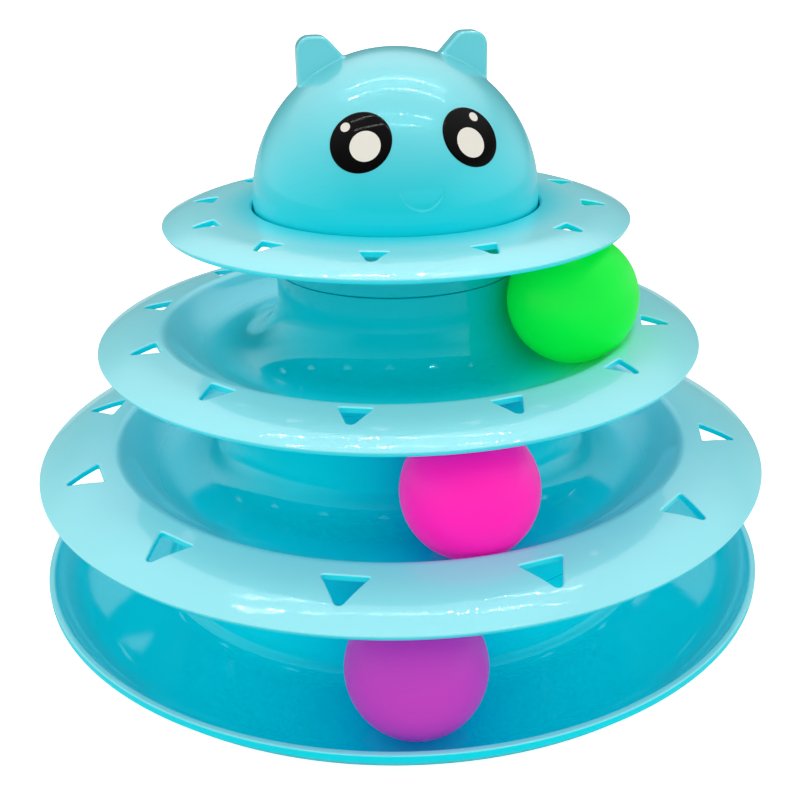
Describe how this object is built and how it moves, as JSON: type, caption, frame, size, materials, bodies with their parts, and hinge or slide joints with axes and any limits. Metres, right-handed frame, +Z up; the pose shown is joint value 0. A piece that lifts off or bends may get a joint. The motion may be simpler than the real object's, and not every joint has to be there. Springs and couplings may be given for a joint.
{
  "type": "cat ball track toy",
  "caption": "Stacked round tower of open ball tracks with rolling balls, holed flanges and a domed cat-head cap; the storeys plug together and lift apart.",
  "frame": {"origin": "on the tower's axis, in the plane that it stands on", "axes": "+Z up along the tower's axis, +Y to the back, +X to the viewer's right when seen from the front"},
  "size_m": [0.25, 0.25, 0.1878],
  "materials": {
    "shell_plastic": "glossy cyan injection-moulded plastic",
    "eye_black": "glossy black foil",
    "eye_white": "white printed area of the foil",
    "ball_purple": "satin purple plastic with a fine moulding seam",
    "ball_pink": "satin bright pink plastic",
    "ball_green": "satin bright green plastic",
    "pad_rubber": "pale non-slip rubber"
  },
  "bodies": {
    "tray": {"base_tray": "shell_plastic", "foot_pad_1": "pad_rubber", "foot_pad_2": "pad_rubber", "foot_pad_3": "pad_rubber", "foot_pad_4": "pad_rubber", "foot_pad_5": "pad_rubber", "foot_pad_6": "pad_rubber"},
    "lower_storey": {"lower_track": "shell_plastic"},
    "middle_storey": {"middle_track": "shell_plastic"},
    "brim": {"top_brim": "shell_plastic"},
    "head": {"cat_head": "shell_plastic", "eye_left": "eye_black", "eye_right": "eye_black", "eye_white_left": "eye_white", "eye_white_right": "eye_white"},
    "purple_ball": {"ball_purple": "ball_purple"},
    "pink_ball": {"ball_pink": "ball_pink"},
    "green_ball": {"ball_green": "ball_green"}
  },
  "joints": [
    {"name": "lower_storey_lift", "type": "slide", "parent": "tray", "child": "lower_storey", "axis": [0, 0, 1], "range_m": [0, 0.06]},
    {"name": "middle_storey_lift", "type": "slide", "parent": "lower_storey", "child": "middle_storey", "axis": [0, 0, 1], "range_m": [0, 0.06]},
    {"name": "brim_lift", "type": "slide", "parent": "middle_storey", "child": "brim", "axis": [0, 0, 1], "range_m": [0, 0.06]},
    {"name": "head_lift", "type": "slide", "parent": "brim", "child": "head", "axis": [0, 0, 1], "range_m": [0, 0.04]},
    {"name": "purple_ball_roll", "type": "hinge", "parent": "tray", "child": "purple_ball", "pos_m": [0, 0, 0.0263], "axis": [0, 0, 1], "continuous": true},
    {"name": "pink_ball_roll", "type": "hinge", "parent": "lower_storey", "child": "pink_ball", "pos_m": [0, 0, 0.0683], "axis": [0, 0, 1], "continuous": true},
    {"name": "green_ball_roll", "type": "hinge", "parent": "middle_storey", "child": "green_ball", "pos_m": [0, 0, 0.1103], "axis": [0, 0, 1], "continuous": true}
  ]
}
